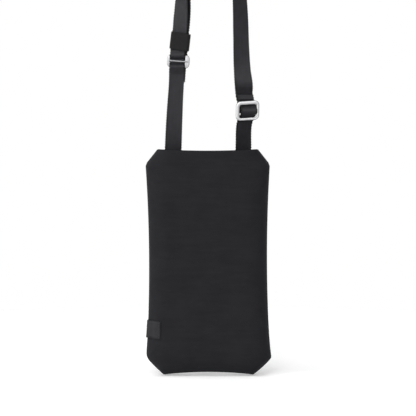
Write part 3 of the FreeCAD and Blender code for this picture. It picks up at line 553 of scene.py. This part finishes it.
def tape(name, band, lift=None, thickness=WEB_THICKNESS, width=WEB_WIDTH, shift=0.0):
    """A closed length of webbing on a band; lift moves its middle out of the band along its face."""
    section = TAPE_FACE + [(across, -up) for across, up in reversed(TAPE_FACE)]
    points, weave = [], []
    for index, centre in enumerate(band.points):
        reach = band.reach[index]
        raised = centre + band.face[index] * (lift(reach) if lift else 0.0)
        scallop = SCALLOP * math.sin(2 * math.pi * reach / SCALLOP_PITCH)
        for across, up in section:
            edge = scallop if abs(across) > SELVEDGE else 0.0
            offset = across * width / 2 * band.spread[index] + math.copysign(1, across) * edge + shift
            points.append(raised + band.across[index] * offset + band.face[index] * (up * thickness / 2))
            weave.append((offset, reach))
    piece = new_object(name, points, tube_faces(len(band.points), len(section)), WEBBING)
    layer = piece.data.uv_layers.new(name="weave")
    for loop in piece.data.loops:
        layer.data[loop.index].uv = weave[loop.vertex_index]
    tidy_mesh(piece)
    return piece


def by_height(knots, height):
    levels, values = zip(*knots)
    return float(np.interp(height / MM, levels, values))


def level_way(knots, point, x_sign, y_sign):
    """A level direction, turned off the x axis by the angle that the knots give at a point's height."""
    angle = math.radians(by_height(knots, point.z))
    return Vector((x_sign * math.cos(angle), y_sign * math.sin(angle), 0))


def left_across(point, knots=LEFT_TURN):
    return level_way(knots, point, 1, -1)


def strap_across(point):
    return left_across(point) if point.x < 0 else level_way(RIGHT_TURN, point, -1, -1)


def strap_spread(point):
    return by_height(RIGHT_SPREAD, point.z) if point.x > 0 else 1.0


def tail_lift(down):
    """How far a tail's hem stands in front of the tab, by the distance down from its end."""
    return WEB_THICKNESS + LAYER_GAP + TAIL_KICK * down / HEM_LENGTH


def paint_shade_below(tab, level):
    """Below a level the tape takes the darker, duller copy of the webbing, as painted shade."""
    tab.data.materials.append(SHADED_WEBBING)
    for face in tab.data.polygons:
        face.material_index = int(face.center.z < level)


def make_straps():
    """The upper strap, the two tabs with their sewn-in ends, and the hems folded at each end."""
    strap = Band(route_points("strap_route", STRAP_ROUTE, steps=34), strap_across, strap_spread)
    left = Band(route_points("left_route", LEFT_ROUTE, steps=30), left_across,
                lambda point: by_height(LEFT_SPREAD, point.z))
    right = Band(route_points("right_route", RIGHT_ROUTE, steps=20),
                 lambda point: level_way(TAB_TURN, point, 1, 1), square=False)

    strap_piece = tape("upper_strap", strap)
    strap_hem = tape("upper_strap_hem", strap.part(0, HEM_LENGTH), lambda reach: -(WEB_THICKNESS + LAYER_GAP))
    finish_piece(strap_piece, "straps", "webbing", "shoulder_strap")
    finish_piece(strap_hem, "straps", "webbing")

    for side, band in (("left", left), ("right", right)):
        tab = tape(f"{side}_tab_strap", band)
        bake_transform(tab)
        dress(tab, "webbing", f"{side}_tab", f"{side}_strap_anchor")
        if side == "right":
            # The tab's lower part gets painted shade from the darker webbing copy
            paint_shade_below(tab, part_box("buckle_frame")[0].z + SHADE_ABOVE)
        end = band.reach[-1]
        hem = tape(f"{side}_tab_hem", band.part(end - HEM_LENGTH, end), lambda reach: tail_lift(end - reach))
        finish_piece(hem, "straps", "webbing")
    return strap, left, right


# Stitches

def stitch_mesh(name, dashes, length=STITCH_LENGTH):
    """Short threads that dip into the cloth at both ends; each dash is a place, a direction and a face."""
    points, faces = [], []
    for place, along, face in dashes:
        faces += tube_faces(len(STITCH_STATIONS), STITCH_SIDES, first=len(points))
        beside = along.cross(face)
        for share, thick, up in STITCH_STATIONS:
            centre = place + along * (share * length / 2) + face * (up * STITCH_RADIUS)
            for cosine, sine in circle(STITCH_SIDES):
                points.append(centre + (beside * cosine + face * sine) * (STITCH_RADIUS * thick))
    piece = new_object(name, points, faces, THREAD)
    tidy_mesh(piece)
    return piece


def spaced(first, last, pitch):
    """The middles of equal steps between two places."""
    count = max(1, round((last - first) / pitch))
    return [first + (last - first) * (number + 0.5) / count for number in range(count)]


def dash_on_band(band, reach, across, height, directions):
    """A stitch along one of a band's directions; a negative height puts it on the back."""
    index = band.at(reach)
    place = band.points[index] + band.across[index] * across + band.face[index] * height
    return place, directions[index], band.face[index] * math.copysign(1, height)


def row_along(band, first, last, across, height):
    """Stitches along a band between two reaches."""
    return [dash_on_band(band, reach, across, height, band.along)
            for reach in spaced(first, last, PITCH_ALONG)]


def row_over(band, reach, height):
    """Stitches across a band at a reach."""
    return [dash_on_band(band, reach, across, height, band.across)
            for across in spaced(-STITCH_HALF, STITCH_HALF, PITCH_OVER)]


def box_on_band(band, first, last, height):
    dashes = row_over(band, first, height) + row_over(band, last, height)
    for across in (-STITCH_HALF, STITCH_HALF):
        dashes += row_along(band, first, last, across, height)
    return dashes


def make_stitches(strap, left, right):
    face = WEB_THICKNESS / 2
    under_hem = -(WEB_THICKNESS + LAYER_GAP + face)
    hem = [dash for reach in HEM_ROWS for dash in row_over(strap, reach, under_hem)]
    finish_piece(stitch_mesh("strap_hem_stitches", hem), "straps", "thread", "hem_stitching")
    # The folded end lies behind the strap with its own face turned away from the viewer
    first, last = (strap.reach[-1] - before for before in FOLD_BOX)
    fold = box_on_band(strap, first, last, face)
    finish_piece(stitch_mesh("strap_fold_stitches", fold), "straps", "thread", "fold_stitching")
    for side, band in (("left", left), ("right", right)):
        anchor = box_on_band(band, *ANCHOR_BOX, face)
        finish_piece(stitch_mesh(f"{side}_end_stitches", anchor), "pouch", "thread",
                     f"{side}_anchor_stitching")
        tail = [dash for down in HEM_ROWS
                for dash in row_over(band, band.reach[-1] - down, tail_lift(down) + face)]
        finish_piece(stitch_mesh(f"{side}_tail_stitches", tail), "straps", "thread")


# Pouch

def fade(distance, reach):
    """One at no distance, falling smoothly to nothing at the reach."""
    left = np.clip(1 - distance / reach, 0, 1)
    return left * left * (3 - 2 * left)


def arched(share):
    """Nothing at both ends of a stretch, one in its middle."""
    return 4 * share * (1 - share)


def soft_least(first, second, softness):
    """The lesser of two widths, with the corner between them rounded."""
    return -softness * np.logaddexp(-first / softness, -second / softness)


def reach_to_side(height, sign):
    """The pouch's width from its middle to the left (-1) or right (1), by height above its bottom corners."""
    low, high = BOTTOM_RISE, POUCH_HEIGHT - TOP_DROP
    share = np.clip((height - low) / (high - low), 0, 1)
    top, bottom = POUCH_HALF + EDGE_TOP[sign], POUCH_HALF + EDGE_BOTTOM[sign]
    side = bottom + (top - bottom) * share - SIDE_DRAW * arched(share)
    side = side + FLARE[sign] * np.exp(-np.maximum(height - low, 0) / FLARE_REACH)
    rise = height / BOTTOM_RISE
    bow = BOTTOM_BOW[sign] * np.maximum(arched(rise), 0)
    lower = bottom + FLARE[sign] - BOTTOM_RUN[sign] * (1 - rise) + bow
    upper = top - TOP_RUN * (1 - (POUCH_HEIGHT - height) / TOP_DROP)
    return soft_least(soft_least(side, upper, TOP_SOFTNESS), lower, BOTTOM_SOFTNESS[sign])


def inset(x, height):
    """How far a point lies inside the sewn edge, which leaves the mouth out."""
    left, right = x + reach_to_side(height, -1), reach_to_side(height, 1) - x
    nearness = sum(np.maximum(distance, TINY) ** -INSET_POWER for distance in (left, right, height))
    return nearness ** (-1 / INSET_POWER)


def swell(distance, reach):
    """A pad's rise from its sewn edge: steep at the edge, level in the middle."""
    share = np.clip(distance / reach, 0, 1)
    return (1 - (1 - share) ** SWELL_POWER) ** (1 / SWELL_ROOT)


def puckers(x, height):
    """Small folds that run in from the cut corners, and a slow unevenness of the padding."""
    folds = 0
    for corner in (BOTTOM_RISE, POUCH_HEIGHT - TOP_DROP):
        for sign in (-1, 1):
            dx, dz = x - sign * POUCH_HALF, height - corner
            angle = np.arctan2(dz, dx * sign)
            folds = folds + np.sin(angle * PUCKER_FOLDS) * np.exp(-np.hypot(dx, dz) / PUCKER_REACH)
    across, upright = (np.sin(place / run + phase)
                       for place, run, phase in zip((x, height), UNEVEN_RUN, UNEVEN_PHASE))
    return PUCKER * folds + UNEVEN * across * upright


def front_depth(x, height):
    lip = fade(POUCH_HEIGHT - height, LIP_REACH)
    deepest = CROWN_DEPTH - (CROWN_DEPTH - LIP_DEPTH) * lip
    return (deepest + puckers(x, height)) * swell(inset(x, height), FRONT_EDGE)


def back_depth(x, height):
    return (BACK_DEPTH + BACK_PUCKER_SHARE * puckers(x, height)) * swell(inset(x, height), BACK_EDGE)


def front_inner(x, height):
    """The inside of the front wall, which thins out towards the sewn edge."""
    depth = front_depth(x, height)
    return depth - WALL * (1 - np.exp(-depth / WALL))


def pouch_z(share, height):
    """Height in the frame: the bottom edge arches and the mouth dips between the corners."""
    bow = 1 - share * share
    arch = FLOOR_ARCH * bow * fade(height, FLOOR_ARCH_REACH)
    dip = MOUTH_DIP * bow * fade(POUCH_HEIGHT - height, MOUTH_DIP_REACH)
    return POUCH_FLOOR + POUCH_LIFT + height + arch - dip


def pouch_wall(name, outer_depth, inner_depth, facing_sign, gap):
    """A closed wall at a gap from the seam: outside, rolled lip, inside with its lining below the facing."""
    shares = np.sin(np.linspace(-1, 1, WALL_COLUMNS) * math.pi / 2)
    heights = np.linspace(0, 1, WALL_ROWS) ** WALL_CROWDING * (POUCH_HEIGHT - LIP_ROLL)
    share, height = np.meshgrid(shares, heights)
    left, right = -reach_to_side(height, -1), reach_to_side(height, 1)
    x = left + (right - left) * (share + 1) / 2
    outer, inner = outer_depth(x, height) + gap, inner_depth(x, height) + gap
    z = pouch_z(share, height)
    layers = list(zip(x, outer, z))
    middle, half = (outer[-1] + inner[-1]) / 2, (outer[-1] - inner[-1]) / 2
    for step in range(1, LIP_STEPS):
        angle = math.pi * step / LIP_STEPS
        rolled = z[-1] + np.minimum(half, LIP_ROLL) * math.sin(angle)
        layers.append((x[-1], middle + half * math.cos(angle), rolled))
    layers += reversed(list(zip(x, inner, z)))
    points = [(px, SEAM_Y + facing_sign * depth, pz) for layer in layers for px, depth, pz in zip(*layer)]
    piece = new_object(name, points, quads(len(layers), WALL_COLUMNS), POUCH_FABRIC)
    piece.data.materials.append(LINING)
    lined = POUCH_FLOOR + POUCH_HEIGHT - FACING
    first_inside = (WALL_ROWS + LIP_STEPS - 1) * (WALL_COLUMNS - 1)
    for face in piece.data.polygons:
        if face.index >= first_inside and face.center.z < lined:
            face.material_index = 1
    tidy_mesh(piece, merge=WALL_JOIN)
    return piece


def seam_welt():
    """The turned-in edge where front and back meet, a thin roll down both sides and along the bottom."""
    heights = np.linspace(0, 1, WELT_ROWS) ** WELT_CROWDING * (POUCH_HEIGHT - WELT_GAP)
    line = [Vector((-reach_to_side(level, -1), SEAM_Y, pouch_z(1.0, level))) for level in heights[::-1]]
    across = np.linspace(-1, 1, WELT_COLUMNS)[1:-1]
    low, high = -reach_to_side(0.0, -1), reach_to_side(0.0, 1)
    line += [Vector((low + (high - low) * (share + 1) / 2, SEAM_Y, pouch_z(share, 0.0))) for share in across]
    line += [Vector((reach_to_side(level, 1), SEAM_Y, pouch_z(1.0, level))) for level in heights]
    points = []
    for index, centre in enumerate(line):
        outward = direction_at(line, index).cross(BACK)
        for cosine, sine in circle(WELT_SIDES):
            points.append(centre + (outward * cosine + BACK * sine) * WELT_RADIUS)
    welt = new_object("seam_welt", points, tube_faces(len(line), WELT_SIDES), POUCH_FABRIC)
    tidy_mesh(welt)
    return welt


def make_pouch():
    front = pouch_wall("pouch_front", front_depth, front_inner, -1, SEAM_GAP)
    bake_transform(front)
    dress(front, "pouch_fabric", "front_panel", "front_padding", "front_lining", "front_mouth_hem",
          "front_magnet")
    back = pouch_wall("pouch_back", back_depth, lambda x, height: 0 * x, 1, 0.0)
    finish_piece(back, "pouch", "pouch_fabric", "back_panel", "back_padding", "back_lining", "back_mouth_hem",
                 "back_magnet")
    finish_piece(seam_welt(), "pouch", "pouch_fabric")


# Label

def label_point(inwards, up, depth=None):
    """A point by its distance in from the pouch's left edge and up from the label's middle.

    Its depth is in front of the seam; with none given it lies on the pouch.
    """
    level = LABEL_LEVEL + up - (inwards - LABEL_REACH / 2) * LABEL_SLOPE
    lean = float(np.interp(inwards, [0, LABEL_REACH], LABEL_LEANS))
    x = inwards + up * lean - float(reach_to_side(level, -1))
    if depth is None:
        depth = float(front_depth(x, level)) + LABEL_EASE
    return Vector((x, SEAM_Y - depth, POUCH_FLOOR + level))


def thick_sheet(name, grid, thickness, material):
    """A closed sheet with a thickness about a grid of points."""
    down, beside = np.gradient(grid, axis=0), np.gradient(grid, axis=1)
    normal = np.cross(down, beside)
    normal /= np.maximum(np.linalg.norm(normal, axis=2, keepdims=True), TINY)
    rows, columns = grid.shape[:2]
    points = np.concatenate([grid + normal * thickness / 2, grid - normal * thickness / 2]).reshape(-1, 3)
    top = quads(rows, columns)
    under = rows * columns
    faces = top + [tuple(under + corner for corner in reversed(face)) for face in top]
    rim = list(range(columns))
    rim += [row * columns + columns - 1 for row in range(1, rows)]
    rim += [(rows - 1) * columns + column for column in range(columns - 2, -1, -1)]
    rim += [row * columns for row in range(rows - 2, 0, -1)]
    for here, there in zip(rim, rim[1:] + rim[:1]):
        faces.append((there, here, under + here, under + there))
    piece = new_object(name, points, faces, material)
    tidy_mesh(piece)
    return piece


def make_label():
    grid = []
    for up in np.linspace(-0.5, 0.5, LABEL_ROWS) * LABEL_HEIGHT:
        row = [label_point(inwards * MM, up, depth * MM) for inwards, depth in LABEL_FOLD]
        grid.append(row + [label_point(inwards * MM, up) for inwards in LABEL_FLAT])
    label = thick_sheet("side_tag", np.array(grid), LABEL_THICKNESS, LABEL_TAPE)
    finish_piece(label, "front_wall", "label_tape", "side_label")
    dashes = []
    inwards = LABEL_REACH - LABEL_STITCH_IN
    for up in spaced(-LABEL_HEIGHT / 2, LABEL_HEIGHT / 2, LABEL_HEIGHT / LABEL_STITCHES):
        place = label_point(inwards, up)
        along = (label_point(inwards, up + MM) - place).normalized()
        inward = (label_point(inwards + MM, up) - place).normalized()
        face = along.cross(inward).normalized()
        face = face if face.y < 0 else -face
        dashes.append((place + face * LABEL_THICKNESS / 2, along, face))
    stitches = stitch_mesh("side_tag_stitches", dashes, length=LABEL_STITCH_LENGTH)
    finish_piece(stitches, "front_wall", "thread", "label_stitching")


# Fittings

def rounded_loop(half_wide, half_tall, radius, middle=(0, 0), per_corner=8, per_side=6):
    """Points round a rounded rectangle, starting at the lower end of its right upper corner."""
    arcs = []
    for sx, sy, start in ((1, 1, 0), (-1, 1, 90), (-1, -1, 180), (1, -1, 270)):
        centre = Vector((sx * (half_wide - radius), sy * (half_tall - radius)))
        angles = [math.radians(start + 90 * step / per_corner) for step in range(per_corner + 1)]
        arcs.append([centre + Vector((math.cos(angle), math.sin(angle))) * radius for angle in angles])
    loop = []
    for arc, following in zip(arcs, arcs[1:] + arcs[:1]):
        loop += arc + [arc[-1].lerp(following[0], step / per_side) for step in range(1, per_side)]
    return [spot + Vector(middle) for spot in loop]


def ring(name, inner, outer, depth, axes, origin):
    """A ring between two loops; depth gives, for a loop point, its middle plane and half thickness."""
    x_axis, z_axis = axes
    points = []
    for near, far in zip(inner, outer):
        plane, half = depth(near.lerp(far, 0.5))
        for share, front in DOMED:
            spot = near.lerp(far, share)
            points.append(origin + x_axis * spot.x + z_axis * spot.y + BACK * (plane - half * front))
    piece = new_object(name, points, quads(len(inner), len(DOMED), True, True), SILVER)
    # The side strips take the darker silver, as painted shade
    piece.data.materials.append(SILVER_PAINTED_SHADE)
    for face in piece.data.polygons:
        face.material_index = int(face.index % len(DOMED) in SHADED_STRIPS)
    tidy_mesh(piece)
    return piece


def lug(piece, axes, origin, x_range, y_range, z_range, bevel):
    """Add a block with rounded edges to a ring."""
    x_axis, z_axis = axes
    work = bmesh.new()
    block = bmesh.ops.create_cube(work, size=1.0)["verts"]
    spans = [(high - low, (high + low) / 2) for low, high in (x_range, y_range, z_range)]
    for vertex in block:
        x, y, z = (share * size + middle for share, (size, middle) in zip(vertex.co, spans))
        vertex.co = origin + x_axis * x + BACK * y + z_axis * z
    bmesh.ops.bevel(work, geom=work.edges[:], offset=bevel, segments=3, affect="EDGES", profile=0.5)
    bmesh.ops.recalc_face_normals(work, faces=work.faces)
    for face in work.faces:
        face.smooth = True
        # Faces turned sideways take the darker silver, as painted shade
        face.material_index = int(abs(face.normal.dot(x_axis)) > SHADED_TURN)
    work.from_mesh(piece.data)
    work.to_mesh(piece.data)
    work.free()


def make_buckle():
    """The square frame in front of the tab, with the lugs that hold its bar behind it."""
    bar = Vector(JOINTS["buckle_tilt"]["pos_m"])
    axes = (Vector(JOINTS["buckle_tilt"]["axis"]), BUCKLE_UPRIGHT)
    origin = Vector((bar.x, 0, bar.z))
    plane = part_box("buckle_frame")[0].y + BUCKLE_HALF_THICK
    inner, outer = rounded_loop(*BUCKLE_INNER), rounded_loop(*BUCKLE_OUTER)
    piece = ring("buckle_ring", inner, outer, lambda spot: (plane, BUCKLE_HALF_THICK), axes, origin)
    for sign in (-1, 1):
        x_range = sorted(sign * x for x in BUCKLE_LUG_X)
        lug(piece, axes, origin, x_range, (plane, BUCKLE_LUG_BACK), (-BUCKLE_LUG_UP, BUCKLE_LUG_UP),
            BUCKLE_LUG_BEVEL)
    finish_piece(piece, "buckle", "silver_metal", "buckle_frame")


def slide_depth(spot):
    """The slide's middle plane and half thickness at a point of its loop."""
    share = float(fade(abs(spot.x) - RAIL_LEVEL, RAIL_TURN))
    end_plane = END_PLANES[1 if spot.x > 0 else -1]
    plane = end_plane + (RAIL_PLANE - end_plane) * share
    return plane, END_HALF_THICK + (RAIL_HALF_THICK - END_HALF_THICK) * share


def make_adjuster():
    """The oval slide: its ends come forward round the straps' edges and its rails run behind them."""
    z_axis = Vector(JOINTS["adjuster_slide"]["axis"])
    axes = (BACK.cross(z_axis), z_axis)
    low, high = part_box("adjuster_frame")
    origin = Vector(((low.x + high.x) / 2, 0, (low.z + high.z) / 2))
    inner, outer = rounded_loop(*SLIDE_INNER), rounded_loop(*SLIDE_OUTER)
    piece = ring("adjuster_ring", inner, outer, slide_depth, axes, origin)
    for block in SLIDE_LUGS:
        lug(piece, axes, origin, *block)
    finish_piece(piece, "adjuster", "silver_metal", "adjuster_frame")


def make_keeper():
    """The elastic loop round both layers, ribbed, drawn in at its ends and turned with the straps."""
    low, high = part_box("keeper_band")
    z_axis = (Vector(JOINTS["keeper_slide"]["axis"]) + Vector((KEEPER_LEAN, 0, 0))).normalized()
    centre = (low + high) / 2 + Vector((KEEPER_SHIFT, 0, 0))
    x_axis = left_across(centre)
    x_axis = (x_axis - z_axis * x_axis.dot(z_axis)).normalized()
    y_axis = z_axis.cross(x_axis)
    askew = x_axis - z_axis * KEEPER_SKEW
    outer, inner = rounded_loop(*KEEPER_OUTER), rounded_loop(*KEEPER_INNER)

    def loop_points(loop, share):
        level = centre + z_axis * (share - 0.5) * KEEPER_TALL
        return [level + askew * spot.x + y_axis * spot.y for spot in loop]

    points = []
    for row in range(KEEPER_ROWS + 1):
        share = row / KEEPER_ROWS
        drawn_in = KEEPER_ROUNDING * (2 * abs(share - 0.5)) ** KEEPER_ROUNDING_POWER
        swollen = KEEPER_RIB * math.cos(2 * math.pi * share * KEEPER_RIBS) - drawn_in
        ribbed = [spot + (spot - edge).normalized() * swollen for spot, edge in zip(outer, inner)]
        points += loop_points(ribbed, share)
    inner_rows = range(KEEPER_ROWS, -1, -KEEPER_INNER_STEP)
    for row in inner_rows:
        points += loop_points(inner, row / KEEPER_ROWS)
    faces = quads(KEEPER_ROWS + 1 + len(inner_rows), len(outer), True, True)
    piece = new_object("keeper_loop", points, faces, ELASTIC)
    tidy_mesh(piece)
    finish_piece(piece, "keeper", "elastic", "keeper_band")


def make_humps():
    """The webbing swells above and below the slide's bar, and the swelling goes with the slide."""
    points = route_points("slide_route", SLIDE_ROUTE, steps=16)
    band = Band(points, lambda point: left_across(point, SLIDE_TURN))
    piece = tape("slide_webbing", band, thickness=HUMP_THICKNESS, width=HUMP_WIDTH, shift=HUMP_SHIFT)
    finish_piece(piece, "adjuster", "webbing")


def paint_cad_nodes():
    # The slide's bar takes the darker silver, as painted shade
    for name, metal in (("adjuster_bar", SILVER_PAINTED_SHADE), ("buckle_bar", SILVER)):
        piece = frame["nodes"][name]
        piece.data.materials.clear()
        piece.data.materials.append(metal)


# Stage

def new_light(name, kind, power):
    data = bpy.data.lights.new(name, kind)
    data.energy = power
    light = bpy.data.objects.new(name, data)
    bpy.context.scene.collection.objects.link(light)
    return light


def seen_glow(tree, target, entry, unseen, seen):
    """One strength for the light that falls on things, another for what the camera, metal and glass see."""
    path = node(tree, "ShaderNodeLightPath")
    rays = combined(tree, path.outputs["Is Camera Ray"], path.outputs["Is Glossy Ray"])
    rays = combined(tree, rays, path.outputs["Is Transmission Ray"])
    strength = ranged(tree, rays, {"To Min": unseen, "To Max": seen})
    tree.links.new(strength, target.inputs[entry])


def make_floor():
    level = POUCH_FLOOR - FLOOR_DROP
    corners = [(FLOOR_RADIUS * cosine, FLOOR_RADIUS * sine, level) for cosine, sine in circle(FLOOR_CORNERS)]
    material, tree, shader = blank_material("pale_floor", roughness=0.9, specular=0.0)
    shader.inputs["Base Color"].default_value = FLOOR_TONE
    shader.inputs["Emission Color"].default_value = WHITE
    seen_glow(tree, shader, "Emission Strength", unseen=0.0, seen=FLOOR_GLOW)
    floor = new_object("floor", corners, [tuple(range(FLOOR_CORNERS))], material)


def make_stage():
    make_floor()
    for name, place, size, power in ROUND_LIGHTS:
        light = new_light(name, "AREA", power)
        light.data.shape = "DISK"
        light.data.size = size
        light.location = place
        light.rotation_euler = (LIGHT_AIM - Vector(place)).to_track_quat("-Z", "Y").to_euler()
    lamp = new_light("room_light", "SUN", SUN_POWER)
    lamp.data.angle = math.radians(SUN_SPREAD)
    lamp.rotation_euler = [math.radians(angle) for angle in SUN_TILT]
    world = bpy.data.worlds.new("white_room")
    bpy.context.scene.world = world
    world.use_nodes = True
    background = world.node_tree.nodes["Background"]
    background.inputs["Color"].default_value = WHITE
    seen_glow(world.node_tree, background, "Strength", unseen=ROOM_GLOW, seen=1.0)
    bpy.context.scene.view_settings.view_transform = "Standard"


make_camera()
strap_band, left_band, right_band = make_straps()
make_pouch()
make_label()
make_buckle()
make_adjuster()
make_keeper()
make_humps()
make_stitches(strap_band, left_band, right_band)
paint_cad_nodes()
make_stage()
